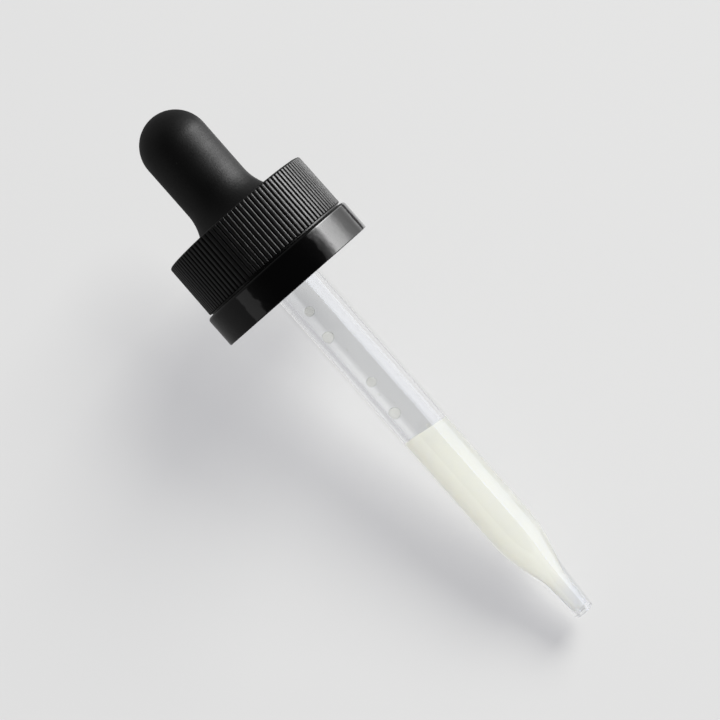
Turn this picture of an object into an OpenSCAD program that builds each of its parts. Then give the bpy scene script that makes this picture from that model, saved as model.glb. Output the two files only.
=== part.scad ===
// Child-resistant medicine dropper: a ribbed overcap that snaps over a threaded inner cap,
// a rubber bulb, and a glass pipette that holds a measure of liquid.
// Millimetres. Z is the common axis, and the bulb points up. The origin is the centre of the
// bulb flange's underside, where the lip of a bottle seals.

/* [Pipette] */
// Outside diameter of the glass tube
tube_d = 7; // [6.6:0.1:7.2]
// Wall thickness of the tube
tube_wall = 0.95; // [0.8:0.05:1.05]
// Length of the pipette, from its bead to its tip
pipette_l = 76; // [66:1:90]
// Outside diameter of the tip, before its fire-polished edge
tip_d = 3.1; // [2.9:0.1:3.4]
// Diameter of the hole in the tip
orifice_d = 1.5; // [1.2:0.1:1.6]

/* [Liquid] */
// Depth of the liquid, from the tip to its surface
fill_h = 35; // [22:0.2:40]
// Depth of the hollow in the liquid's surface
meniscus_h = 0.7; // [0.3:0.1:1.2]

/* [Bulb] */
// Outside diameter of the bulb
bulb_d = 10.2; // [9.8:0.1:10.6]
// Height of the bulb above the cap
bulb_h = 17.3; // [15:0.1:24]
// Wall thickness of the bulb
bulb_wall = 0.95; // [0.8:0.05:1.1]
// Diameter of the bulb's foot, where it meets the top of the cap
foot_d = 13; // [12.4:0.1:13.2]
// Thickness of the flange that seals on the bottle's lip
flange_t = 1.6; // [1.4:0.1:1.7]

/* [Cap] */
// Height of the whole cap
cap_h = 13.5; // [13.5:0.1:14]
// Diameter over the ribs at their lower end
rib_d = 23.9; // [23.7:0.1:24.2]
// Number of ribs round the cap
rib_count = 104; // [60:2:120]
// Depth of the grooves between the ribs
rib_depth = 0.32; // [0.2:0.02:0.4]
// Diameter of the smooth band at the foot of the cap
band_d = 25.1; // [24.9:0.1:25.6]
// Height of the smooth band
band_h = 4.8; // [4:0.1:5.5]
// How far the overcap pushes down
push_travel = 0.9; // [0.7:0.05:0.9]

/* [Bottle neck] */
// Largest diameter of the bottle's thread
neck_thread_d = 17.9; // [17.5:0.1:18]
// Pitch of the thread, eight turns to the inch
thread_pitch = 3.175; // [3:0.025:3.3]
// How far the thread stands in from the wall
thread_depth = 0.8; // [0.6:0.1:0.9]

/* [Hidden] */
$fn = 96;

// Running gaps between pieces that move, and between the liquid and the glass
slip_gap = 0.05;
wet_gap = 0.03;
snap_gap = 0.25;

// Heights in the cap, upwards from the sealing plane
skirt_z = -8;
cap_top_z = skirt_z + cap_h;
band_top_z = skirt_z + band_h;
inner_panel_t = 1;
inner_top_z = flange_t + inner_panel_t;
inner_foot_z = skirt_z + 1;
overcap_panel_t = 1.1;
overcap_ceiling_z = cap_top_z - overcap_panel_t;

// Radii in the cap, outwards from the axis
thread_root_r = neck_thread_d / 2 + 0.15;
thread_crest_r = thread_root_r - thread_depth;
inner_wall_t = 1.1;
inner_r = thread_root_r + inner_wall_t;
overcap_bore_r = inner_r + snap_gap;
neck_hole_r = 5.4;
foot_hole_r = foot_d / 2 + 0.4;

// The drive: lugs under the overcap's panel reach between teeth on the inner cap
lug_count = 12;
tooth_h = push_travel - 0.1;
lug_foot_z = inner_top_z + slip_gap + push_travel;
drive_in_r = 8.4;
drive_out_r = inner_r - 0.45;
drive_bury = 0.2;
drive_pitch = 360 / lug_count;
tooth_l = 1.9;
lug_l = 1.5;

// Points along an arc about (x, y), from angle a0 to angle a1, in steps
function arc(x, y, r, a0, a1, steps) =
    [for (i = [0:steps]) let (a = a0 + (a1 - a0) * i / steps) [x + r * cos(a), y + r * sin(a)]];

// ---------------------------------------------------------------- inner cap

// A corner of the thread's section at turn angle a. Both ends of the thread fade into the wall.
thread_turn = 450;
thread_step = 7.5;
thread_fade = 30;
thread_foot_h = 1.7;
thread_crest_h = 0.7;
thread_root_bury = 0.25;
thread_start_z = inner_foot_z + 0.4 + thread_foot_h / 2;
function thread_fill(a) = min(1, 0.05 + a / thread_fade, 0.05 + (thread_turn - a) / thread_fade);
function thread_point(a, r, dz) =
    [r * cos(a), r * sin(a), thread_start_z + thread_pitch * a / 360 + dz];
function thread_ring(a) = let (crest_r = thread_root_r - thread_depth * thread_fill(a)) [
    thread_point(a, thread_root_r + thread_root_bury, -thread_foot_h / 2),
    thread_point(a, thread_root_r + thread_root_bury, thread_foot_h / 2),
    thread_point(a, crest_r, thread_crest_h / 2),
    thread_point(a, crest_r, -thread_crest_h / 2)
];

// Internal screw thread: a section swept up the wall
module thread() {
    rings = [for (a = [0:thread_step:thread_turn]) thread_ring(a)];
    last = len(rings) - 1;
    corners = 4;
    points = [for (ring = rings) each ring];
    sides = [for (i = [0:last - 1], j = [0:corners - 1]) let (k = (j + 1) % corners)
        each [
            [i * corners + j, i * corners + k, (i + 1) * corners + k],
            [i * corners + j, (i + 1) * corners + k, (i + 1) * corners + j]
        ]];
    ends = [[3, 2, 1, 0], [for (j = [0:corners - 1]) last * corners + j]];
    polyhedron(points, concat(sides, ends));
}

// One drive tooth or lug on the X axis: a block across the drive ring, with one sloping side.
// It stands on z = 0, and slope is how far that side leans in over its height.
module drive_block(length, height, slope) {
    intersection() {
        translate([drive_in_r - 1, length / 2, 0])
            rotate([90, 0, 90])
                linear_extrude(drive_out_r - drive_in_r + 2)
                    polygon([[-length, 0], [0, 0], [0, height], [-length + slope, height]]);
        translate([0, 0, -1])
            difference() {
                cylinder(h = height + 2, r = drive_out_r);
                translate([0, 0, -1]) cylinder(h = height + 4, r = drive_in_r);
            }
    }
}

module inner_cap() {
    edge = 0.4;
    color([0.09, 0.09, 0.10]) {
        rotate_extrude()
            polygon(concat(
                [[thread_root_r, flange_t], [thread_root_r, inner_foot_z + edge],
                    [thread_root_r + edge, inner_foot_z], [inner_r - edge, inner_foot_z]],
                [[inner_r, inner_foot_z + edge]],
                arc(inner_r - edge, inner_top_z - edge, edge, 0, 90, 4),
                [[neck_hole_r, inner_top_z], [neck_hole_r, flange_t]]
            ));
        thread();
        for (i = [0:lug_count - 1])
            rotate(i * drive_pitch)
                translate([0, 0, inner_top_z - drive_bury])
                    drive_block(tooth_l, tooth_h + drive_bury, 0.7);
    }
}

// ---------------------------------------------------------------- push spring

spring_in_r = foot_hole_r + 0.1;
spring_out_r = 8.3;
spring_t = 0.4;
finger_count = 6;
finger_l = 3.6;

// A leaf that curves up from the ring to the overcap's ceiling, seen from the axis
module spring_finger() {
    rise = overcap_ceiling_z - inner_top_z - 2 * slip_gap - spring_t;
    steps = 8;
    under = [for (i = [0:steps]) let (u = i / steps) [u * finger_l, rise * (1 - cos(90 * u))]];
    over = [for (i = [steps:-1:0]) under[i] + [0, spring_t]];
    rotate([90, 0, 90])
        linear_extrude(spring_out_r)
            polygon(concat(under, over));
}

module push_spring() {
    color([0.13, 0.13, 0.14])
        translate([0, 0, inner_top_z + slip_gap]) {
            intersection() {
                union()
                    for (i = [0:finger_count - 1])
                        rotate((i + 0.5) * 360 / finger_count) spring_finger();
                difference() {
                    cylinder(h = 5, r = spring_out_r - 0.1);
                    translate([0, 0, -1]) cylinder(h = 7, r = spring_in_r + 0.1);
                }
            }
            difference() {
                cylinder(h = spring_t, r = spring_out_r);
                translate([0, 0, -1]) cylinder(h = 2, r = spring_in_r);
            }
        }
}

// ---------------------------------------------------------------- overcap

rib_top_r = rib_d / 2 - 0.08;
rib_root_r = rib_d / 2 - rib_depth;
shadow_groove_h = 0.25;
shoulder_r = 0.45;
snap_bead_r = inner_r - 0.25;

// Section through the ribs: four corners to a rib
function rib_outline() =
    [for (i = [0:rib_count - 1], corner = [[-0.40, 0], [-0.17, 1], [0.17, 1], [0.40, 0]])
        let (a = (i + corner[0]) * 360 / rib_count, r = rib_root_r + corner[1] * (rib_depth + 0.2))
        [r * cos(a), r * sin(a)]];

// The ribbed wall, trimmed to its slight draft and its rounded top edge
module ribbed_wall() {
    edge = 0.35;
    intersection() {
        translate([0, 0, band_top_z - 1])
            linear_extrude(cap_top_z - band_top_z + 1.01) polygon(rib_outline());
        rotate_extrude()
            polygon(concat(
                [[0, band_top_z - 1], [rib_root_r - 0.05, band_top_z - 1],
                    [rib_root_r - 0.05, band_top_z + shadow_groove_h],
                    [rib_d / 2, band_top_z + shadow_groove_h]],
                arc(rib_top_r - edge, cap_top_z - edge, edge, 0, 90, 6),
                [[0, cap_top_z]]
            ));
    }
}

module smooth_band() {
    foot = 0.15;
    rotate_extrude()
        polygon(concat(
            [[0, skirt_z], [band_d / 2 - foot, skirt_z], [band_d / 2, skirt_z + foot]],
            arc(band_d / 2 - shoulder_r, band_top_z - shoulder_r, shoulder_r, 0, 90, 6),
            [[0, band_top_z]]
        ));
}

// The inside of the overcap, with the bead that snaps under the inner cap
module overcap_cavity() {
    bead_h = 0.7;
    bead_z = inner_foot_z - slip_gap - bead_h;
    lead = overcap_bore_r - snap_bead_r;
    rotate_extrude()
        polygon([[0, skirt_z - 1], [overcap_bore_r + 0.2, skirt_z - 1], [overcap_bore_r + 0.2, skirt_z],
            [snap_bead_r, bead_z], [snap_bead_r, bead_z + bead_h - lead * 0.6],
            [overcap_bore_r, bead_z + bead_h], [overcap_bore_r, overcap_ceiling_z],
            [0, overcap_ceiling_z]]);
}

module overcap() {
    color([0.06, 0.06, 0.06])
        difference() {
            union() {
                difference() {
                    union() {
                        ribbed_wall();
                        smooth_band();
                    }
                    overcap_cavity();
                }
                for (i = [0:lug_count - 1])
                    rotate((i + 0.5) * drive_pitch)
                        translate([0, 0, overcap_ceiling_z + drive_bury])
                            mirror([0, 0, 1])
                                drive_block(lug_l, overcap_ceiling_z + drive_bury - lug_foot_z, 0.4);
            }
            cylinder(h = 2 * cap_h, r = foot_hole_r);
        }
}

// ---------------------------------------------------------------- bulb and pipette

tube_r = tube_d / 2;
bore_r = tube_r - tube_wall;
grip_r = tube_r - 0.2;
bead_r = tube_r + 0.35;
bead_h = 1.4;
// How far the glass reaches up into the bulb from the top of the inner cap
glass_reach = 4.3;
pipette_top_z = inner_top_z + glass_reach;
tip_z = pipette_top_z - pipette_l;
mouth_r = tube_r + 0.1;
mouth_h = 0.4;

bulb_r = bulb_d / 2;
cavity_r = bulb_r - bulb_wall;
bulb_flange_r = 7.7;
bulb_neck_r = neck_hole_r - slip_gap;
foot_z = cap_top_z - 0.9;
flare_h = 4.3;
flare_in = foot_d / 2 - bulb_r;
flare_r = (flare_h * flare_h + flare_in * flare_in) / (2 * flare_in);
dome_z = cap_top_z + bulb_h - bulb_r;

module bulb() {
    edge = 0.3;
    flare_a = asin(flare_h / flare_r);
    color([0.07, 0.07, 0.075])
        rotate_extrude()
            polygon(concat(
                [[grip_r + slip_gap, mouth_h + 0.2], [mouth_r, mouth_h], [mouth_r, 0],
                    [bulb_flange_r - edge, 0], [bulb_flange_r, edge],
                    [bulb_flange_r, flange_t - slip_gap], [bulb_neck_r, flange_t - slip_gap],
                    [bulb_neck_r, foot_z - 1], [foot_d / 2, foot_z]],
                arc(bulb_r + flare_r, foot_z + 0.5 + flare_h, flare_r, 180 + flare_a, 180, 10),
                arc(0, dome_z, bulb_r, 0, 90, 24),
                arc(0, dome_z, cavity_r, 90, 0, 18),
                [[cavity_r, pipette_top_z + 1], [bead_r + slip_gap, pipette_top_z + 0.4],
                    [bead_r + slip_gap, pipette_top_z - bead_h - slip_gap],
                    [grip_r + slip_gap, pipette_top_z - bead_h - slip_gap]]
            ));
}

// The glass narrows in an S: out of the tube by one arc, down a cone, and into the tip by another
taper_a = 12.7;
tip_a = 3.6;
taper_out_r = 20.5;
taper_in_r = 16;
taper_z = tip_z + 16;
cone_h = 3.3;

// The taper's outline at the glass's outer face, or inset by the thickness of the glass
function taper(start_r, end_r) = let (
    out_h = taper_out_r * sin(taper_a),
    cone_r = start_r - taper_out_r * (1 - cos(taper_a)),
    foot_r = cone_r - cone_h * tan(taper_a),
    foot_z = taper_z - out_h - cone_h,
    centre = [foot_r + taper_in_r * cos(taper_a), foot_z - taper_in_r * sin(taper_a)],
    curve = concat(
        arc(start_r - taper_out_r, taper_z, taper_out_r, 0, -taper_a, 8),
        arc(centre[0], centre[1], taper_in_r, 180 - taper_a, 180 - tip_a, 6)
    ),
    last = curve[len(curve) - 1],
    blend = (end_r - last[0]) / (last[1] - tip_z)
) concat(curve, [[last[0] + blend * (last[1] - tip_z), tip_z]]);

module pipette() {
    polish = 0.25;
    outer = taper(tube_r, tip_d / 2 - 0.03);
    inner = taper(bore_r, orifice_d / 2);
    outer_side = [for (i = [0:len(outer) - 2]) outer[i]];
    tip_side = [[tip_d / 2, tip_z + polish], [tip_d / 2 - polish, tip_z]];
    inner_side = [for (i = [len(inner) - 1:-1:0]) inner[i]];
    color([0.85, 0.88, 0.90, 0.4])
        rotate_extrude()
            polygon(concat(
                [[grip_r, mouth_h / 2], [tube_r, 0]],
                outer_side, tip_side, inner_side,
                [[bore_r, pipette_top_z - 0.2], [bore_r + 0.2, pipette_top_z]],
                arc(bead_r - 0.4, pipette_top_z - 0.4, 0.4, 90, 0, 4),
                arc(bead_r - 0.4, pipette_top_z - bead_h + 0.4, 0.4, 0, -90, 4),
                [[grip_r, pipette_top_z - bead_h]]
            ));
}

// ---------------------------------------------------------------- liquid

liquid_r = bore_r - wet_gap;
liquid_foot_z = tip_z + 0.6;
liquid_top_z = tip_z + fill_h;

module liquid_tip() {
    inner = taper(bore_r, orifice_d / 2);
    side = [for (p = inner) if (p[1] > liquid_foot_z) p - [wet_gap, 0]];
    color([0.90, 0.89, 0.74])
        rotate_extrude()
            polygon(concat(
                [[0, taper_z]], side,
                [[orifice_d / 2 - wet_gap, liquid_foot_z], [0, liquid_foot_z]]
            ));
}

module liquid_column() {
    hollow_r = (liquid_r * liquid_r + meniscus_h * meniscus_h) / (2 * meniscus_h);
    hollow_a = asin(liquid_r / hollow_r);
    color([0.92, 0.91, 0.76])
        rotate_extrude()
            polygon(concat(
                [[0, taper_z + wet_gap], [liquid_r, taper_z + wet_gap]],
                arc(0, liquid_top_z - meniscus_h + hollow_r, hollow_r, -90 + hollow_a, -90, 8)
            ));
}

// Beads of liquid that cling to the wall above the liquid: [height above it, turn, radius]
beads = [[22.5, -116, 0.7], [18.1, -126, 0.85], [9.5, -116, 0.7], [4.1, -126, 0.85]];

module droplets() {
    color([0.90, 0.90, 0.78])
        for (b = beads)
            intersection() {
                rotate(b[1])
                    translate([bore_r - 0.25 * b[2], 0, liquid_top_z + b[0]]) sphere(b[2]);
                translate([0, 0, liquid_top_z])
                    cylinder(h = pipette_top_z - liquid_top_z - 1, r = liquid_r);
            }
}

inner_cap();
push_spring();
overcap();
bulb();
pipette();
liquid_tip();
droplets();
liquid_column();
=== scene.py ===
import math
import random

import bmesh
import bpy
from mathutils import Matrix, Vector


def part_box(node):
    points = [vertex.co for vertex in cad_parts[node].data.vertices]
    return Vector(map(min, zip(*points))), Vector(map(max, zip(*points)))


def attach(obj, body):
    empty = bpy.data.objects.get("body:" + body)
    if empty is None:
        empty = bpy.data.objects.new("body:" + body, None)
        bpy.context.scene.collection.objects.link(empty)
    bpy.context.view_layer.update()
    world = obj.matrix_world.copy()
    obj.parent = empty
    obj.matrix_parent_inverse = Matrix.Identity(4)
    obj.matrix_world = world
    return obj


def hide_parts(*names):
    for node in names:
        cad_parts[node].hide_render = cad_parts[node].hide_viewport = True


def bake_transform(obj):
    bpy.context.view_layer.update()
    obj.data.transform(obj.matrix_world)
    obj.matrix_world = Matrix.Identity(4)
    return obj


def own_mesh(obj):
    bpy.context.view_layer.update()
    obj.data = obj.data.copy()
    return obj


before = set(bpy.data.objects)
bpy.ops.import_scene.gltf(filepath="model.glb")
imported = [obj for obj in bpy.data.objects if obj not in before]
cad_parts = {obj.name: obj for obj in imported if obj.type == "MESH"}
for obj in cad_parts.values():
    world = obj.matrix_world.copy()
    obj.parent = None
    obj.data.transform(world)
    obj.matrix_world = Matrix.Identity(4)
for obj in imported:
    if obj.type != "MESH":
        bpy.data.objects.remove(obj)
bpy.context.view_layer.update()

# Looks of the medicine dropper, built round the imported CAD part. Sizes are in millimetres, and MM
# turns them into Blender's metres.
MM = 0.001


# ------------------------------------------------------------------ sizes, from the frame if it has them

def node_box(name):
    """A CAD node's lowest and highest corners, in millimetres."""
    low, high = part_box(name)
    return low / MM, high / MM


cap_low, cap_high = node_box("overcap")
bulb_high = node_box("bulb")[1]
tube_low, tube_high = node_box("pipette")
liquid_tip_low = node_box("liquid_tip")[0]
column_high = node_box("liquid_column")[1]
spring_low, spring_high = node_box("push_spring")

# Overcap
BAND_R = cap_high.x
CAP_TOP_Z = cap_high.z
SKIRT_Z = cap_low.z
BAND_TOP_Z = SKIRT_Z + 4.8
CEILING_Z = CAP_TOP_Z - 1.1
STEP_ROUND = 0.45
RIB_R = 11.95
RIB_TOP_R = 11.87
RIB_DEPTH = 0.32
RIB_COUNT = 104
FOOT_HOLE_R = 6.9
CAP_BORE_R = 10.45
SNAP_R = 9.95

# Bulb
BULB_R = 5.1
FOOT_R = 6.5
NECK_R = 5.35
FLANGE_R = bulb_high.x
FLANGE_T = 1.55
BULB_WALL = 0.95
FLARE_H = 4.3
BULB_FOOT_Z = CAP_TOP_Z - 0.9
DOME_Z = bulb_high.z - BULB_R

# Pipette
TUBE_R = 3.5
MOUTH_R = TUBE_R + 0.2
MOUTH_H = 0.4
BORE_R = 2.55
GRIP_R = 3.3
BEAD_R = tube_high.x
TIP_Z = tube_low.z
TUBE_TOP_Z = tube_high.z
TAPER_Z = TIP_Z + 16
TIP_R = 1.55
ORIFICE_R = 0.75
LIQUID_TOP_Z = column_high.z


# ------------------------------------------------------------------ mesh helpers

def arc(x, y, radius, start, end, steps):
    """Points on a circle about (x, y), from angle start to angle end in degrees."""
    points = []
    for i in range(steps + 1):
        angle = math.radians(start + (end - start) * i / steps)
        points.append((x + radius * math.cos(angle), y + radius * math.sin(angle)))
    return points


def face_outwards(mesh):
    """Turns every face of a closed mesh to look outwards."""
    work = bmesh.new()
    work.from_mesh(mesh)
    bmesh.ops.recalc_face_normals(work, faces=work.faces)
    work.to_mesh(mesh)
    work.free()


def make_object(name, vertices, faces, sharp_angle=35):
    """A smooth-shaded mesh object, from points in millimetres."""
    mesh = bpy.data.meshes.new(name)
    mesh.from_pydata([(x * MM, y * MM, z * MM) for x, y, z in vertices], [], faces)
    mesh.validate()
    face_outwards(mesh)
    mesh.shade_smooth()
    mesh.set_sharp_from_angle(angle=math.radians(sharp_angle))
    made = bpy.data.objects.new(name, mesh)
    bpy.context.scene.collection.objects.link(made)
    return made


def lathe(name, profile, segments=128, closed=True, relief=None, sharp_angle=35):
    """Turns a profile of (radius, height) points about the axis. A closed profile comes back to its
    start. A point of no radius becomes a pole. relief(index, turn) moves a point inwards."""
    vertices, rings = [], []
    for index, (radius, z) in enumerate(profile):
        if radius < 1e-6:
            rings.append([len(vertices)])
            vertices.append((0, 0, z))
            continue
        ring = []
        for step in range(segments):
            turn = step / segments
            r = radius - (relief(index, turn) if relief else 0)
            ring.append(len(vertices))
            vertices.append((r * math.cos(math.tau * turn), r * math.sin(math.tau * turn), z))
        rings.append(ring)
    faces = []
    for index in range(len(rings) if closed else len(rings) - 1):
        lower, upper = rings[index], rings[(index + 1) % len(rings)]
        if len(lower) == len(upper) == 1:
            continue
        for step in range(segments):
            after = (step + 1) % segments
            if len(lower) == 1:
                faces.append([lower[0], upper[after], upper[step]])
            elif len(upper) == 1:
                faces.append([lower[step], lower[after], upper[0]])
            else:
                faces.append([lower[step], lower[after], upper[after], upper[step]])
    return make_object(name, vertices, faces, sharp_angle)


def rounded(corners, radius, steps):
    """A closed polyline with its corners rounded, by at most 0.45 of the sides that meet there."""
    points = []
    count = len(corners)
    most = 0.45
    for i, corner in enumerate(corners):
        here = Vector(corner)
        before = Vector(corners[i - 1]) - here
        after = Vector(corners[(i + 1) % count]) - here
        half = before.angle(after) / 2
        reach = min(radius / math.tan(half), before.length * most, after.length * most)
        start, end = here + before.normalized() * reach, here + after.normalized() * reach
        for step in range(steps + 1):
            t = step / steps
            point = start * (1 - t) ** 2 + here * 2 * t * (1 - t) + end * t ** 2
            points.append(tuple(point))
    return points


def taper(start_r, end_r):
    """The pipette's outline from its straight tube to its tip: an arc, a cone, an arc and the tip."""
    taper_a, tip_a = 12.7, 3.6
    out_r, in_r, cone_h = 20.5, 16, 3.3
    out_h = out_r * math.sin(math.radians(taper_a))
    cone_r = start_r - out_r * (1 - math.cos(math.radians(taper_a)))
    foot_r = cone_r - cone_h * math.tan(math.radians(taper_a))
    foot_z = TAPER_Z - out_h - cone_h
    centre_r = foot_r + in_r * math.cos(math.radians(taper_a))
    centre_z = foot_z - in_r * math.sin(math.radians(taper_a))
    curve = arc(start_r - out_r, TAPER_Z, out_r, 0, -taper_a, 12)
    curve += arc(centre_r, centre_z, in_r, 180 - taper_a, 180 - tip_a, 10)
    last_r, last_z = curve[-1]
    steps = 6
    for i in range(1, steps + 1):
        t = i / steps
        curve.append((last_r + (end_r - last_r) * t, last_z + (TIP_Z - last_z) * t))
    return curve


# ------------------------------------------------------------------ materials

class Shader:
    """A material's node tree, with short ways to add and link nodes."""

    def __init__(self, name):
        self.material = bpy.data.materials.new(name)
        self.material.use_nodes = True
        self.nodes = self.material.node_tree.nodes
        self.links = self.material.node_tree.links
        self.bsdf = self.nodes["Principled BSDF"]
        self.place = self.nodes.new("ShaderNodeTexCoord").outputs["Object"]

    def set(self, **values):
        """Sets the shader's own sockets. An underscore stands for a space in a socket's name."""
        for name, value in values.items():
            self.bsdf.inputs[name.replace("_", " ")].default_value = value

    def noise(self, scale, detail=3, stretch=None, roughness=0.5):
        """Noise with so many grains to the metre. stretch scales it along each axis."""
        node = self.nodes.new("ShaderNodeTexNoise")
        node.inputs["Scale"].default_value = scale
        node.inputs["Detail"].default_value = detail
        node.inputs["Roughness"].default_value = roughness
        source = self.place
        if stretch:
            mapping = self.nodes.new("ShaderNodeMapping")
            mapping.inputs["Scale"].default_value = stretch
            self.links.new(source, mapping.inputs["Vector"])
            source = mapping.outputs["Vector"]
        self.links.new(source, node.inputs["Vector"])
        return node.outputs["Fac"]

    def height(self):
        """The point's height in the piece's own frame, in metres."""
        node = self.nodes.new("ShaderNodeSeparateXYZ")
        self.links.new(self.place, node.inputs[0])
        return node.outputs["Z"]

    def remap(self, value, from_low, from_high, to_low, to_high, smooth=False):
        """Takes a value from one range to another, and holds it at the ends."""
        node = self.nodes.new("ShaderNodeMapRange")
        node.interpolation_type = "SMOOTHSTEP" if smooth else "LINEAR"
        ends = {"From Min": from_low, "From Max": from_high, "To Min": to_low, "To Max": to_high}
        for name, number in ends.items():
            node.inputs[name].default_value = number
        self.links.new(value, node.inputs["Value"])
        return node.outputs["Result"]

    def math(self, operation, a, b):
        """An operation on two values, each a number or a socket."""
        node = self.nodes.new("ShaderNodeMath")
        node.operation = operation
        for socket, value in zip(node.inputs, (a, b)):
            if isinstance(value, (int, float)):
                socket.default_value = value
            else:
                self.links.new(value, socket)
        return node.outputs[0]

    def mix(self, factor, a, b):
        """Goes from colour a to colour b as the factor rises. Each is three numbers or a socket."""
        node = self.nodes.new("ShaderNodeMix")
        node.data_type = "RGBA"
        self.links.new(factor, node.inputs["Factor"])
        for socket, value in ((node.inputs[6], a), (node.inputs[7], b)):
            if isinstance(value, tuple):
                socket.default_value = (*value, 1)
            else:
                self.links.new(value, socket)
        return node.outputs[2]

    def link(self, output, name):
        """Leads a node's output to one of the shader's own sockets."""
        self.links.new(output, self.bsdf.inputs[name])

    def bump(self, value, strength, distance):
        """Raises the surface by a value, over a distance in metres."""
        node = self.nodes.new("ShaderNodeBump")
        node.inputs["Strength"].default_value = strength
        node.inputs["Distance"].default_value = distance
        self.links.new(value, node.inputs["Height"])
        self.link(node.outputs["Normal"], "Normal")


def cap_material():
    """Black moulding: satin on the ribs, with a fine texture, and polished on the band."""
    shader = Shader("cap_plastic")
    ribs = shader.remap(shader.height(), (BAND_TOP_Z - 0.05) * MM, (BAND_TOP_Z + 0.1) * MM, 0, 1)
    grain = shader.noise(5200, 4)
    wave = shader.noise(420, 2)
    satin = shader.remap(grain, 0.3, 0.7, 0.31, 0.43)
    gloss = shader.remap(wave, 0.3, 0.7, 0.05, 0.11)
    rough = shader.math("ADD", shader.math("MULTIPLY", satin, ribs),
                        shader.math("MULTIPLY", gloss, shader.math("SUBTRACT", 1, ribs)))
    shader.link(rough, "Roughness")
    band_tone = (0.0025, 0.0025, 0.0026)
    rib_tone = shader.mix(shader.noise(900, 3), (0.009, 0.009, 0.0091), (0.013, 0.013, 0.0131))
    shader.link(shader.mix(ribs, band_tone, rib_tone), "Base Color")
    rib_grain = shader.math("MULTIPLY", grain, shader.math("MULTIPLY", ribs, 0.1))
    shader.bump(shader.math("ADD", rib_grain, wave), 0.55, 0.0001)
    shader.set(IOR=1.5)
    return shader.material


def inner_plastic_material():
    """The hidden mouldings: plain black plastic with a faint flow texture."""
    shader = Shader("inner_plastic")
    grain = shader.noise(2600, 4)
    shader.link(shader.remap(grain, 0.3, 0.7, 0.38, 0.52), "Roughness")
    tone = shader.mix(shader.noise(500, 2), (0.012, 0.012, 0.013), (0.02, 0.02, 0.021))
    shader.link(tone, "Base Color")
    shader.bump(grain, 0.3, 0.00002)
    shader.set(IOR=1.5)
    return shader.material


def rubber_material():
    """Soft black rubber with a fine matte skin, faint rings and a few pale specks of dust."""
    shader = Shader("bulb_rubber")
    skin = shader.noise(4200, 5, roughness=0.65)
    rings = shader.noise(900, 3, stretch=(0.12, 0.12, 2.0))
    cloud = shader.noise(260, 3)
    shader.link(shader.remap(cloud, 0.3, 0.7, 0.44, 0.54), "Roughness")
    tone = shader.mix(cloud, (0.0060, 0.0060, 0.0061), (0.0090, 0.0090, 0.0091))
    speck = shader.remap(shader.noise(2400, 1), 0.80, 0.84, 0, 1)
    shader.link(shader.mix(speck, tone, (0.10, 0.10, 0.10)), "Base Color")
    shader.bump(shader.math("ADD", skin, rings), 0.52, 0.00004)
    shader.set(IOR=1.5)
    return shader.material


def glass_material():
    """Clear drawn glass with faint draw lines along the tube."""
    shader = Shader("clear_glass")
    lines = shader.noise(600, 1, stretch=(1, 1, 0.02))
    shader.bump(lines, 0.006, 0.00001)
    shader.set(Base_Color=(0.965, 0.97, 0.975, 1), Transmission_Weight=1, IOR=1.5, Roughness=0)
    return shader.material


def liquid_material(name, fade_low, fade_high):
    """Milky cream liquid. It thins out to clear between two heights, in millimetres."""
    shader = Shader(name)
    drift = shader.noise(260, 3, stretch=(1, 1, 0.35))
    cream = shader.mix(drift, (0.962, 0.955, 0.825), (0.975, 0.968, 0.865))
    thin = shader.remap(shader.height(), fade_low * MM, fade_high * MM, 1.0, 0.0, smooth=True)
    shader.link(shader.mix(thin, cream, (0.955, 0.965, 0.955)), "Base Color")
    shader.link(shader.math("MULTIPLY", thin, 0.25), "Transmission Weight")
    shader.set(Roughness=0.25, IOR=1.36, Subsurface_Weight=0.3, Subsurface_Radius=(1.0, 0.95, 0.8),
               Subsurface_Scale=0.0003)
    return shader.material


def drop_material():
    """Small clear beads with a breath of cream in them."""
    shader = Shader("bead_liquid")
    tint = shader.mix(shader.noise(1500, 2), (0.96, 0.96, 0.90), (0.99, 0.99, 0.96))
    shader.link(tint, "Base Color")
    shader.set(Transmission_Weight=0.9, Roughness=0.14, IOR=1.2)
    return shader.material


CAP_PLASTIC = cap_material()
INNER_PLASTIC = inner_plastic_material()
RUBBER = rubber_material()
GLASS = glass_material()
COLUMN_LIQUID = liquid_material("cream_liquid_column", TIP_Z - 10, TIP_Z - 5)
TIP_LIQUID = liquid_material("cream_liquid_tip", TIP_Z + 1.0, TIP_Z + 8.0)
BEAD_LIQUID = drop_material()


def finish_piece(piece, material, body=None, replaces=None):
    """Gives a piece its material and slot and, where they are named, its body and the node it replaces."""
    piece.data.materials.append(material)
    if body:
        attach(piece, body)
    if replaces:
        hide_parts(replaces)
    return piece


# ------------------------------------------------------------------ overcap

# How far the wall stands out at each step across one rib, from the bottom of one groove to the next
RIB_SHAPE = (0.0, 0.58, 0.91, 0.98, 1.0, 1.0, 1.0, 0.98, 0.91, 0.58)


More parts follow.
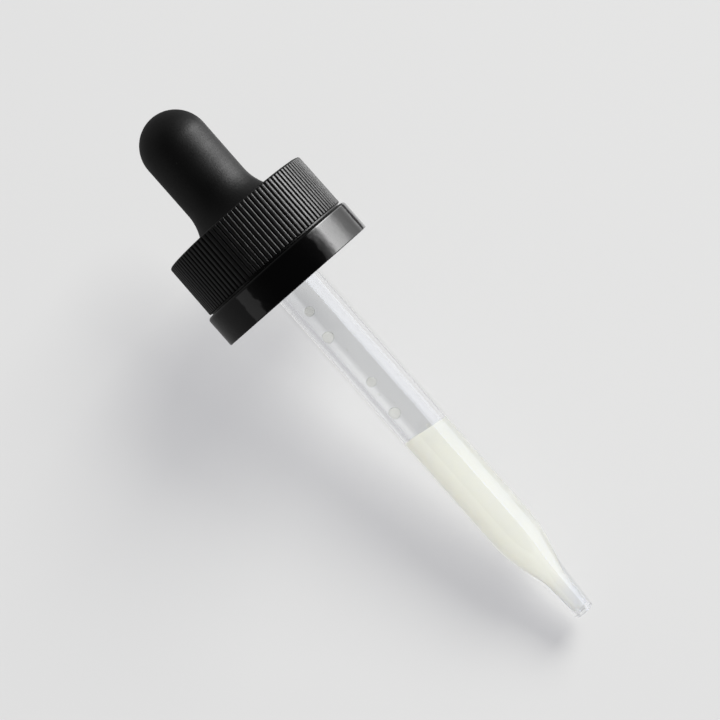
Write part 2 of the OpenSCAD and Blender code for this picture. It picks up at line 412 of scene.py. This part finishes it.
def overcap_profile():
    """Radius, height and groove depth of each ring, from the hole's edge out, down, and back inside."""
    edge, hole_edge, rim_edge, step_gap = 0.35, 0.25, 0.15, 0.25
    hole = arc(FOOT_HOLE_R + hole_edge, CAP_TOP_Z - hole_edge, hole_edge, 180, 90, 4)
    rings = [(r, z, 0) for r, z in hole]
    # The grooves fade in round the top corner
    corner = arc(RIB_TOP_R - edge, CAP_TOP_Z - edge, edge, 90, 0, 8)
    corner_grooves = [0, 0, 0, 0.02, 0.06, 0.12, 0.19, 0.26, 0.3]
    rings += [(r, z, groove) for (r, z), groove in zip(corner, corner_grooves)]
    # The wall widens a little towards the band
    wall_low = BAND_TOP_Z + step_gap
    steps = 6
    for i in range(1, steps + 1):
        t = i / steps
        z = corner[-1][1] + (wall_low + 0.12 - corner[-1][1]) * t
        rings.append((RIB_TOP_R + (RIB_R - RIB_TOP_R) * t, z, RIB_DEPTH))
    # The ribs' rounded lower ends, and the plain recess under them
    rings.append((RIB_R - 0.05, wall_low + 0.03, RIB_DEPTH - 0.05))
    rings.append((RIB_R - 0.14, wall_low, RIB_DEPTH - 0.14))
    rings.append((RIB_R - RIB_DEPTH - 0.04, wall_low - 0.01, 0))
    rings.append((RIB_R - RIB_DEPTH - 0.06, BAND_TOP_Z + 0.03, 0))
    rings.append((RIB_R - RIB_DEPTH, BAND_TOP_Z, 0))
    band_edge = arc(BAND_R - STEP_ROUND, BAND_TOP_Z - STEP_ROUND, STEP_ROUND, 90, 0, 8)
    rings += [(r, z, 0) for r, z in band_edge]
    rings += [(BAND_R, z, 0) for z in (BAND_TOP_Z - 1.6, BAND_TOP_Z - 2.8, SKIRT_Z + 0.5)]
    rings += [(r, z, 0) for r, z in arc(BAND_R - rim_edge, SKIRT_Z + rim_edge, rim_edge, 0, -90, 4)]
    # Back inside: the snap bead, the bore and the ceiling
    snap_bead = [(CAP_BORE_R + 0.2, SKIRT_Z), (SNAP_R, SKIRT_Z + 0.25), (SNAP_R, SKIRT_Z + 0.65),
                 (CAP_BORE_R, SKIRT_Z + 0.95)]
    ceiling = [(CAP_BORE_R, CEILING_Z), (FOOT_HOLE_R, CEILING_Z)]
    rings += [(r, z, 0) for r, z in rounded(snap_bead + ceiling, radius=0.12, steps=3)]
    return rings


def make_overcap():
    """The ribbed shell with its polished band, its hole for the bulb and its snap bead."""
    rings = overcap_profile()
    samples = len(RIB_SHAPE)

    def relief(index, turn):
        """How far the wall is set in at a ring and a turn, to make the ribs."""
        share = RIB_SHAPE[int(round(turn * RIB_COUNT * samples)) % samples]
        return rings[index][2] * (1 - share)

    profile = [(r, z) for r, z, groove in rings]
    shell = lathe("overcap_shell", profile, RIB_COUNT * samples, relief=relief, sharp_angle=50)
    return finish_piece(shell, CAP_PLASTIC, "overcap", "overcap")


def make_lugs():
    """The drive lugs under the overcap's ceiling."""
    vertices, faces = [], []
    in_r, out_r, low_z = 8.4, 9.7, 3.55
    count, length, lean, bury = 12, 1.5, 0.4, 0.05
    for lug in range(count):
        turn = math.tau * (lug + 0.5) / count
        across = Vector((math.cos(turn), math.sin(turn), 0))
        along = Vector((-math.sin(turn), math.cos(turn), 0))
        first = len(vertices)
        for r in (in_r, out_r):
            for step, z in ((-length / 2, CEILING_Z + bury), (length / 2, CEILING_Z + bury),
                            (length / 2, low_z), (-length / 2 + lean, low_z)):
                point = across * r + along * step
                vertices.append((point.x, point.y, z))
        faces += [[first + k for k in face] for face in
                  ((0, 1, 2, 3), (7, 6, 5, 4), (0, 4, 5, 1), (1, 5, 6, 2), (2, 6, 7, 3), (3, 7, 4, 0))]
    lugs = make_object("overcap_lugs", vertices, faces)
    bevel = lugs.modifiers.new("soft_edges", "BEVEL")
    bevel.width = 0.06 * MM
    bevel.segments = 2
    return finish_piece(lugs, INNER_PLASTIC, "overcap")


# ------------------------------------------------------------------ push spring

def make_spring():
    """A ring with leaf fingers that curve up to the overcap's ceiling."""
    vertices, faces = [], []
    in_r, out_r = 7.0, spring_high.x
    foot_z, thick, top_z = spring_low.z, 0.4, spring_high.z
    lift, inset = 0.01, 0.15
    fingers, finger_turn, steps = 6, math.radians(27), 12

    def strip(heights, turns, low_r, high_r):
        """Adds four corners at each turn, and returns the number of the first."""
        first = len(vertices)
        for turn, z in zip(turns, heights):
            for r, dz in ((low_r, 0), (high_r, 0), (high_r, thick), (low_r, thick)):
                vertices.append((r * math.cos(turn), r * math.sin(turn), z + dz))
        return first

    ring_steps = 144
    ring_turns = [math.tau * i / ring_steps for i in range(ring_steps)]
    first = strip([foot_z] * ring_steps, ring_turns, in_r, out_r)
    for i in range(ring_steps):
        a, b = first + 4 * i, first + 4 * ((i + 1) % ring_steps)
        faces += [[a + k, b + k, b + (k + 1) % 4, a + (k + 1) % 4] for k in range(4)]
    for finger in range(fingers):
        start = math.tau * (finger + 0.5) / fingers
        turns = [start + finger_turn * i / steps for i in range(steps + 1)]
        rise = top_z - thick - foot_z
        heights = []
        for i in range(steps + 1):
            heights.append(foot_z + lift + rise * (1 - math.cos(math.pi / 2 * i / steps)))
        first = strip(heights, turns, in_r + inset, out_r - inset)
        for i in range(steps):
            a, b = first + 4 * i, first + 4 * (i + 1)
            faces += [[a + k, b + k, b + (k + 1) % 4, a + (k + 1) % 4] for k in range(4)]
        last = first + 4 * steps
        faces += [[first + 3, first + 2, first + 1, first], [last, last + 1, last + 2, last + 3]]
    spring = make_object("push_spring_leaves", vertices, faces)
    finish_piece(spring, INNER_PLASTIC, "spring", "push_spring")
    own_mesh(spring)
    return spring


# ------------------------------------------------------------------ bulb

def bulb_outline():
    """The bulb's outer face above the cap, from its foot to its pole."""
    flare_in = FOOT_R - BULB_R
    flare_r = (FLARE_H ** 2 + flare_in ** 2) / (2 * flare_in)
    flare_a = math.degrees(math.asin(FLARE_H / flare_r))
    foot_edge = 0.5
    flare_top_z = BULB_FOOT_Z + foot_edge + FLARE_H
    outline = arc(BULB_R + flare_r, flare_top_z, flare_r, 180 + flare_a, 180, 20)
    steps = 6
    low = outline[-1][1]
    outline += [(BULB_R, low + (DOME_Z - low) * i / steps) for i in range(1, steps)]
    outline += arc(0, DOME_Z, BULB_R, 0, 90, 32)
    outline[-1] = (0, outline[-1][1])
    return outline


def make_bulb_grip():
    """The hollow bulb above the cap."""
    outer = bulb_outline()
    inner_r = BULB_R - BULB_WALL
    inner = arc(0, DOME_Z, inner_r, 90, 0, 20)
    inner[0] = (0, inner[0][1])
    lap = 0.4
    foot = [(inner_r, BULB_FOOT_Z + 1), (inner_r, BULB_FOOT_Z - lap), (FOOT_R - lap, BULB_FOOT_Z - lap),
            (FOOT_R, BULB_FOOT_Z)]
    grip = lathe("bulb_grip", outer + inner + foot, 160, sharp_angle=40)
    finish_piece(grip, RUBBER, "bulb", "bulb")
    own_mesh(grip)
    return grip


def make_bulb_root():
    """The flange and neck that the caps hold, and a funnel that stays round as the grip is pinched."""
    foot_r, rim_r, bend = FOOT_R - 0.12, 3.15, 1.6
    low_z, high_z = BULB_FOOT_Z + 0.1, TUBE_TOP_Z + 2.3
    grip_gap, bead_gap, rim, bevel = 0.2, 0.02, 0.1, 0.3
    profile = [(GRIP_R + grip_gap, MOUTH_H + 0.2), (MOUTH_R, MOUTH_H), (MOUTH_R, 0)]
    profile += [(FLANGE_R - bevel, 0), (FLANGE_R, bevel), (FLANGE_R, FLANGE_T), (NECK_R, FLANGE_T)]
    profile += [(NECK_R, BULB_FOOT_Z - 1), (FOOT_R - 0.35, BULB_FOOT_Z - 0.2)]
    steps = 16
    for i in range(steps + 1):
        t = i / steps
        profile.append((rim_r + (foot_r - rim_r) * (1 - t) ** bend, low_z + (high_z - low_z) * t))
    throat_r, seat_z = BORE_R + 0.15, TUBE_TOP_Z + 0.1
    profile += [(rim_r - rim, high_z + rim), (throat_r, high_z + rim), (throat_r, seat_z)]
    profile += [(BEAD_R + bead_gap, seat_z)]
    root = lathe("bulb_root", profile, 128, sharp_angle=40)
    finish_piece(root, RUBBER)
    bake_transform(root)
    return root


# ------------------------------------------------------------------ pipette and liquid

def make_pipette():
    """The glass, from its bead in the bulb to its cut tip."""
    outer = taper(TUBE_R, TIP_R)
    inner = taper(BORE_R, ORIFICE_R)
    edge, bead_round, bead_h, mouth_edge = 0.015, 0.4, 1, 0.2
    outer = [p for p in outer if p[1] > TIP_Z + edge] + [(TIP_R, TIP_Z + edge)]
    inner = [p for p in inner if p[1] > TIP_Z + edge] + [(ORIFICE_R, TIP_Z + edge)]
    lip = [(TIP_R - edge, TIP_Z), (ORIFICE_R + edge, TIP_Z)]
    steps = 8
    straight = [(TUBE_R, TAPER_Z * i / steps) for i in range(steps)]
    bore_h = TUBE_TOP_Z - mouth_edge - TAPER_Z
    bore = [(BORE_R, TAPER_Z + bore_h * i / steps) for i in range(1, steps + 1)]
    top_bead = arc(BEAD_R - bead_round, TUBE_TOP_Z - bead_round, bead_round, 90, 0, 6)
    top_bead += arc(BEAD_R - bead_round, TUBE_TOP_Z - bead_h, bead_round, 0, -90, 6)
    profile = [(GRIP_R, MOUTH_H / 2)] + straight + outer + lip + list(reversed(inner)) + bore
    profile += [(BORE_R + mouth_edge, TUBE_TOP_Z)] + top_bead + [(GRIP_R, TUBE_TOP_Z - 1.4)]
    tube = lathe("glass_pipette", profile, 192, sharp_angle=40)
    return finish_piece(tube, GLASS, "pipette", "pipette")


# How far the liquid reaches into the glass, so that nothing shows between them, and how far the two
# pieces of liquid reach into each other
WETTING = 0.02
LIQUID_OVERLAP = 0.7


def make_liquid_tip():
    """The liquid in the taper, which stays there as the rest flows down."""
    sag = 0.04
    lowest = liquid_tip_low.z + sag
    side = [(r + WETTING, z) for r, z in taper(BORE_R, ORIFICE_R) if z > lowest]
    foot_r, foot_z = side[-1]
    foot = [(foot_r * share, foot_z - sag * (1 - share ** 2)) for share in (0.8, 0.55, 0.3, 0.0)]
    core_r, core_z, edge = BORE_R - 0.1, TAPER_Z + LIQUID_OVERLAP, 0.3
    core = [(0, core_z), (core_r - edge, core_z), (core_r, core_z - edge), (core_r, TAPER_Z)]
    tip = lathe("liquid_in_tip", core + side + foot, 128, closed=False, sharp_angle=60)
    return finish_piece(tip, TIP_LIQUID, "pipette", "liquid_tip")


def make_liquid_column():
    """The liquid in the straight bore, with a hollow surface that leans a little."""
    radius, segments = BORE_R + WETTING, 128
    hollow, lean_x, lean_y = 0.3, math.tan(math.radians(9)), math.tan(math.radians(7))
    wall_top, wall_margin, steps = LIQUID_TOP_Z, 1.6, 12
    vertices, rings = [], []

    def ring(r, height):
        """Adds a ring of points, whose height is a function of x and y."""
        start = len(vertices)
        for step in range(segments):
            turn = math.tau * step / segments
            x, y = r * math.cos(turn), r * math.sin(turn)
            vertices.append((x, y, height(x, y)))
        rings.append(range(start, start + segments))

    def surface(share):
        """The height of the hollow, leaning surface, at a share of the radius."""
        depth = hollow * (1 - share ** 2.6)
        return lambda x, y: wall_top - lean_x * (x + radius) - lean_y * (y + radius) - depth

    core_r, core_z = BORE_R - 0.15, TAPER_Z - LIQUID_OVERLAP
    ring(core_r * 0.8, lambda x, y: core_z)
    ring(core_r, lambda x, y: core_z + 0.2)
    ring(core_r, lambda x, y: TAPER_Z)
    ring(radius, lambda x, y: TAPER_Z)
    for i in range(1, steps):
        t = i / steps
        ring(radius, lambda x, y, t=t: TAPER_Z + (wall_top - wall_margin - TAPER_Z) * t)
    for share in (1.0, 0.985, 0.96, 0.92, 0.86, 0.78, 0.68, 0.55, 0.4, 0.22):
        ring(radius * share, surface(share))
    faces = []
    for lower, upper in zip(rings, rings[1:]):
        for step in range(segments):
            after = (step + 1) % segments
            faces.append([lower[step], lower[after], upper[after], upper[step]])
    bottom, top = len(vertices), len(vertices) + 1
    vertices.append((0, 0, core_z))
    vertices.append((0, 0, surface(0)(0, 0)))
    for step in range(segments):
        after = (step + 1) % segments
        faces.append([bottom, rings[0][after], rings[0][step]])
        faces.append([top, rings[-1][step], rings[-1][after]])
    column = make_object("liquid_in_bore", vertices, faces, sharp_angle=60)
    finish_piece(column, COLUMN_LIQUID, "liquid", "liquid_column")
    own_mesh(column)
    return column


def bead(vertices, faces, turn, z, size, tall=1.0):
    """Adds a drop that clings to the bore: a dome whose edge runs into the glass."""
    rings, segments, dome = 10, 28, 0.4
    wall = Vector((math.cos(turn), math.sin(turn), 0))
    side = Vector((-math.sin(turn), math.cos(turn), 0))
    start = len(vertices)
    for i in range(rings + 1):
        t = i / rings
        reach = size * math.sin(math.pi / 2 * t)
        stand = dome * size * math.cos(math.pi / 2 * t)
        for step in range(segments if i else 1):
            a = math.tau * step / segments
            u, v = reach * math.cos(a), reach * math.sin(a) * tall
            sag = BORE_R + WETTING - math.sqrt(max(BORE_R ** 2 - u ** 2, 0))
            depth = BORE_R + WETTING - sag - stand
            point = wall * depth + side * u
            vertices.append((point.x, point.y, z + v))
    back = len(vertices)
    vertices.append((*(wall * (BORE_R + WETTING)).xy, z))
    first_ring = start + 1
    for step in range(segments):
        after = (step + 1) % segments
        faces.append([start, first_ring + after, first_ring + step])
        for i in range(rings - 1):
            a = first_ring + i * segments
            b = a + segments
            faces.append([a + step, a + after, b + after, b + step])
        last = first_ring + (rings - 1) * segments
        faces.append([last + step, last + after, back])


BEAD_SEED = 7


def make_beads():
    """Four drops above the liquid, with a bubble at its surface and fine drops strewn about them."""
    # Each drop's height above the liquid, its turn in degrees and its radius
    big = ((22.5, -116, 0.7), (18.1, -126, 0.85), (9.5, -116, 0.7), (4.1, -126, 0.85))
    fine_turns, fine_count = (-60, -100, -64, 20, 140), 9
    vertices, faces = [], []
    for above, turn, size in big:
        bead(vertices, faces, math.radians(turn), LIQUID_TOP_Z + above, size)
    beads = make_object("clinging_beads", vertices, faces, sharp_angle=70)
    finish_piece(beads, BEAD_LIQUID, "pipette", "droplets")
    bubble_turn, bubble_sink, bubble_r = -75, 0.25, 0.28
    vertices, faces = [], []
    bead(vertices, faces, math.radians(bubble_turn), LIQUID_TOP_Z - bubble_sink, bubble_r)
    rng = random.Random(BEAD_SEED)
    for i in range(fine_count):
        turn = math.radians(rng.choice(fine_turns) + rng.uniform(-9, 9))
        z = LIQUID_TOP_Z + rng.uniform(2, 25)
        bead(vertices, faces, turn, z, rng.uniform(0.07, 0.2), rng.uniform(1, 1.8))
    mist = make_object("fine_beads", vertices, faces, sharp_angle=70)
    finish_piece(mist, BEAD_LIQUID, "pipette")
    return beads, mist


# The CAD's own inner cap stays, with a better material
inner_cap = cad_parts["inner_cap"]
inner_cap.data.materials.clear()
inner_cap.data.materials.append(INNER_PLASTIC)
pieces = [inner_cap, make_overcap(), make_lugs(), make_spring(), make_bulb_grip(), make_bulb_root(),
          make_pipette(), make_liquid_tip(), make_liquid_column(), *make_beads()]


# ------------------------------------------------------------------ camera, backdrop and light

# The camera looks along +Y from the front, level with the cap's skirt. Its roll turns the dropper's
# tip to the lower right.
ROLL = math.radians(41.3)
CAMERA_X = -0.38
CAMERA_DISTANCE = 225
AIM_Z = -21.4
EYE = Vector((CAMERA_X, -CAMERA_DISTANCE, SKIRT_Z + 0.1)) * MM
AIM = Vector((CAMERA_X, 0, AIM_Z)) * MM
VIEW_WIDTH = 100.8 * MM
SENSOR = 36

camera_data = bpy.data.cameras.new("camera")
camera = bpy.data.objects.new("camera", camera_data)
bpy.context.scene.collection.objects.link(camera)
forward = (AIM - EYE).normalized()
camera.location = EYE
camera.rotation_mode = "QUATERNION"
view_axes = forward.to_track_quat("-Z", "Y").to_matrix() @ Matrix.Rotation(-ROLL, 3, "Z")
camera.rotation_quaternion = view_axes.to_quaternion()
camera_data.sensor_width = SENSOR
camera_data.lens = SENSOR * (AIM - EYE).length / VIEW_WIDTH
camera_data.clip_start = 0.01
camera_data.clip_end = 20
bpy.context.scene.camera = camera

# Directions of the set: towards the camera, and along, across and in front of the dropper
TOWARDS = view_axes.col[2]
ALONG = Vector((0, 0, 1))
ACROSS = Vector((1, 0, 0))
FRONT = Vector((0, -1, 0))


def backdrop_material():
    """Pale paper. Its glow stands for light from all round, its diffuse part takes the shadows, and its
    back is clear."""
    material = bpy.data.materials.new("pale_paper")
    material.use_nodes = True
    nodes, links = material.node_tree.nodes, material.node_tree.links
    nodes.clear()
    output = nodes.new("ShaderNodeOutputMaterial")
    diffuse = nodes.new("ShaderNodeBsdfDiffuse")
    diffuse.inputs["Color"].default_value = (0.25, 0.25, 0.25, 1)
    glow = nodes.new("ShaderNodeEmission")
    glow.inputs["Color"].default_value = (0.320, 0.320, 0.335, 1)
    glow.inputs["Strength"].default_value = 1
    paper = nodes.new("ShaderNodeAddShader")
    links.new(diffuse.outputs[0], paper.inputs[0])
    links.new(glow.outputs[0], paper.inputs[1])
    clear = nodes.new("ShaderNodeBsdfTransparent")
    geometry = nodes.new("ShaderNodeNewGeometry")
    sides = nodes.new("ShaderNodeMixShader")
    links.new(geometry.outputs["Backfacing"], sides.inputs[0])
    links.new(paper.outputs[0], sides.inputs[1])
    links.new(clear.outputs[0], sides.inputs[2])
    links.new(sides.outputs[0], output.inputs["Surface"])
    return material


# How far the sheet stands off the band's rim and the tip's side, so that the shadow falls clear of them
RIM_HOVER = 4.6
TIP_HOVER = 2.8
SHEET_SIZE = 1800


def make_backdrop():
    """The sheet behind the dropper. It isn't seen in reflections and casts no shadow."""
    rim = Vector((0, BAND_R + RIM_HOVER, SKIRT_Z))
    tip = Vector((0, TIP_R + TIP_HOVER, TIP_Z))
    down = (tip - rim).normalized()
    half = SHEET_SIZE / 2
    middle = (rim + tip) / 2
    signs = ((-1, -1), (1, -1), (1, 1), (-1, 1))
    corners = [middle + ACROSS * (half * i) + down * (half * j) for i, j in signs]
    sheet = bpy.data.meshes.new("backdrop")
    sheet.from_pydata([corner * MM for corner in corners], [], [[0, 1, 2, 3]])
    if sheet.polygons[0].normal.y > 0:
        sheet.flip_normals()
    sheet.materials.append(backdrop_material())
    plane = bpy.data.objects.new("backdrop", sheet)
    bpy.context.scene.collection.objects.link(plane)
    plane.visible_glossy = False
    plane.visible_shadow = False
    return plane


LIGHT_AIM = Vector((0, 0, -20 * MM))


def softbox(name, direction, distance, width, height, power, tone=(1, 1, 1), ramp=(), lift=0.0):
    """An area light that faces the dropper from a direction, with its sizes in metres and its power in
    watts. Its strength may change across its width, by a ramp of (place, share) pairs. lift moves it
    along the dropper."""
    data = bpy.data.lights.new(name, "AREA")
    data.shape = "RECTANGLE"
    data.size = width
    data.size_y = height
    data.energy = power
    data.color = tone
    light = bpy.data.objects.new(name, data)
    bpy.context.scene.collection.objects.link(light)
    light.location = LIGHT_AIM + direction.normalized() * distance + ALONG * lift
    back = direction.normalized()
    side = ALONG.cross(back).normalized()
    top = back.cross(side)
    turned = Matrix((side, top, back)).transposed().to_4x4()
    light.matrix_world = Matrix.Translation(light.location) @ turned
    if ramp:
        data.use_nodes = True
        nodes, links = data.node_tree.nodes, data.node_tree.links
        place = nodes.new("ShaderNodeSeparateXYZ")
        links.new(nodes.new("ShaderNodeNewGeometry").outputs["Parametric"], place.inputs[0])
        shares = nodes.new("ShaderNodeValToRGB")
        stops = shares.color_ramp.elements
        while len(stops) < len(ramp):
            stops.new(0.5)
        for stop, (position, share) in zip(stops, ramp):
            stop.position = position
            stop.color = (share, share, share, 1)
        links.new(place.outputs["X"], shares.inputs["Fac"])
        links.new(shares.outputs["Color"], nodes["Emission"].inputs["Strength"])
    return light


def around(turn, rise=0.0):
    """A direction in degrees: turned from the front towards +X, then raised towards the bulb."""
    a, e = math.radians(turn), math.radians(rise)
    return (FRONT * math.cos(a) + ACROSS * math.sin(a)) * math.cos(e) + ALONG * math.sin(e)


# The world's strength: where it is seen directly, as a light on matte faces, as a light on the liquid
# through the glass, and as reflections of the side behind the camera, of the rest in satin, and of the
# rest in a mirror
WORLD_SEEN = 0.76
WORLD_DIFFUSE = 0.15
WORLD_THROUGH_GLASS = 1.54
DARK_SIDE = 0.03
PALE_SIDE = 0.2
MIRROR_SIDE = 1.0


def make_world():
    """A pale studio with a dark side behind the camera. Seen directly or through glass, it is pale."""
    world = bpy.data.worlds.new("studio")
    bpy.context.scene.world = world
    world.use_nodes = True
    nodes, links = world.node_tree.nodes, world.node_tree.links
    path = nodes.new("ShaderNodeLightPath")
    direction = nodes.new("ShaderNodeSeparateXYZ")
    links.new(nodes.new("ShaderNodeTexCoord").outputs["Generated"], direction.inputs[0])

    def by_direction(start, end, front, rest):
        """Goes from the front's strength to the rest's, between two values of the direction's Y."""
        node = nodes.new("ShaderNodeMapRange")
        node.interpolation_type = "SMOOTHSTEP"
        ends = {"From Min": start, "From Max": end, "To Min": front, "To Max": rest}
        for name, number in ends.items():
            node.inputs[name].default_value = number
        links.new(direction.outputs["Y"], node.inputs["Value"])
        return node.outputs["Result"]

    def choose(flag, off, on):
        """One strength or the other, by an output of the Light Path node."""
        node = nodes.new("ShaderNodeMix")
        links.new(path.outputs[flag], node.inputs["Factor"])
        for socket, value in ((node.inputs["A"], off), (node.inputs["B"], on)):
            if isinstance(value, float):
                socket.default_value = value
            else:
                links.new(value, socket)
        return node.outputs[0]

    # The dark side ends softly in satin, and within a few degrees in a mirror
    satin = by_direction(-0.95, -0.1, DARK_SIDE, PALE_SIDE)
    mirror = by_direction(-0.84, -0.76, DARK_SIDE, MIRROR_SIDE)
    reflected = choose("Is Singular Ray", satin, mirror)
    indirect = choose("Is Glossy Ray", WORLD_DIFFUSE, reflected)
    lit_through = choose("Diffuse Depth", WORLD_SEEN, WORLD_THROUGH_GLASS)
    through = choose("Is Transmission Ray", indirect, lit_through)
    strength = choose("Is Camera Ray", through, WORLD_SEEN)
    background = nodes["Background"]
    background.inputs["Color"].default_value = (1, 1, 1, 1)
    links.new(strength, background.inputs["Strength"])


def collect(name, members):
    """A collection of objects for light linking."""
    group = bpy.data.collections.new(name)
    for member in members:
        group.objects.link(member)
    return group


def made_of(*materials):
    """The pieces that are made of any of the materials."""
    return [piece for piece in pieces if piece.data.materials[0] in materials]


def light_only(light, receivers, blockers=None, diffuse=True, glossy=True, through_glass=False):
    """Keeps a light on one group. Where blockers are given, only they shade it. The flags say which
    rays see it."""
    light.light_linking.receiver_collection = receivers
    if blockers is not None:
        light.light_linking.blocker_collection = blockers
    light.visible_diffuse = diffuse
    light.visible_glossy = glossy
    light.visible_transmission = through_glass


make_world()
clear = collect("clear_pieces", made_of(GLASS, COLUMN_LIQUID, TIP_LIQUID, BEAD_LIQUID))
moulded = collect("moulded_pieces", made_of(CAP_PLASTIC, INNER_PLASTIC))
black = collect("black_pieces", made_of(CAP_PLASTIC, INNER_PLASTIC, RUBBER))
sheet = collect("sheet", [make_backdrop()])

# Each light falls on its own part of the set, as with flags in a studio. The first three throw the
# shadow on the sheet, and the rest light the dropper.
KEY_TONE = (1.0, 1.0, 0.935)
shadow_key = softbox("shadow_key", around(57, 24), distance=2.0, width=0.95, height=0.95, power=55,
                     tone=KEY_TONE)
light_only(shadow_key, sheet)
tube_key = softbox("tube_key", around(56, 20), distance=2.0, width=0.6, height=0.6, power=18,
                   tone=KEY_TONE)
light_only(tube_key, sheet, blockers=clear)
under_shadow = softbox("under_shadow", TOWARDS, distance=0.8, width=0.08, height=0.08, power=4.2)
light_only(under_shadow, sheet, blockers=clear)

clear_key = softbox("clear_key", around(55, 21), distance=2.0, width=0.6, height=0.6, power=5.0,
                    tone=(0.74, 0.88, 1.4))
light_only(clear_key, clear, glossy=False, through_glass=True)
black_key = softbox("black_key", around(55, 21), distance=2.0, width=0.6, height=0.6, power=5)
light_only(black_key, black, glossy=False)

# The strength of the side lights at each place across them, from the camera's end to the far end
SIDE_RAMP = ((0, 0.02), (0.13, 0.1), (0.2, 0.35), (0.27, 0.97), (0.42, 0.72), (0.53, 0.36), (0.6, 0.17),
             (0.67, 0.12), (0.76, 0.075), (0.86, 0.06), (1, 0.12))
GLASS_RAMP = ((0, 1), (0.04, 1), (0.06, 0.58), (0.6, 0.48), (1, 0.32))
side = softbox("side", around(95, -8), distance=0.6, width=1.2, height=0.48, power=20, ramp=SIDE_RAMP)
light_only(side, black, diffuse=False)
rib_side = softbox("rib_side", around(95), distance=0.6, width=1.2, height=0.2, power=11,
                   ramp=SIDE_RAMP, lift=0.18)
light_only(rib_side, moulded, diffuse=False)
glass_side = softbox("glass_side", around(73), distance=0.6, width=0.74, height=0.66, power=5.2,
                     tone=(0.9, 0.97, 1.2), ramp=GLASS_RAMP, lift=-0.31)
light_only(glass_side, clear, diffuse=False)
edge_light = softbox("edge", around(161, -8), distance=0.6, width=0.3, height=0.48, power=0.4)
light_only(edge_light, black, diffuse=False)
left_fill = softbox("left_fill", around(-63), distance=0.7, width=0.26, height=0.35, power=0.11)
light_only(left_fill, moulded)
bpy.context.scene.view_settings.view_transform = "Standard"
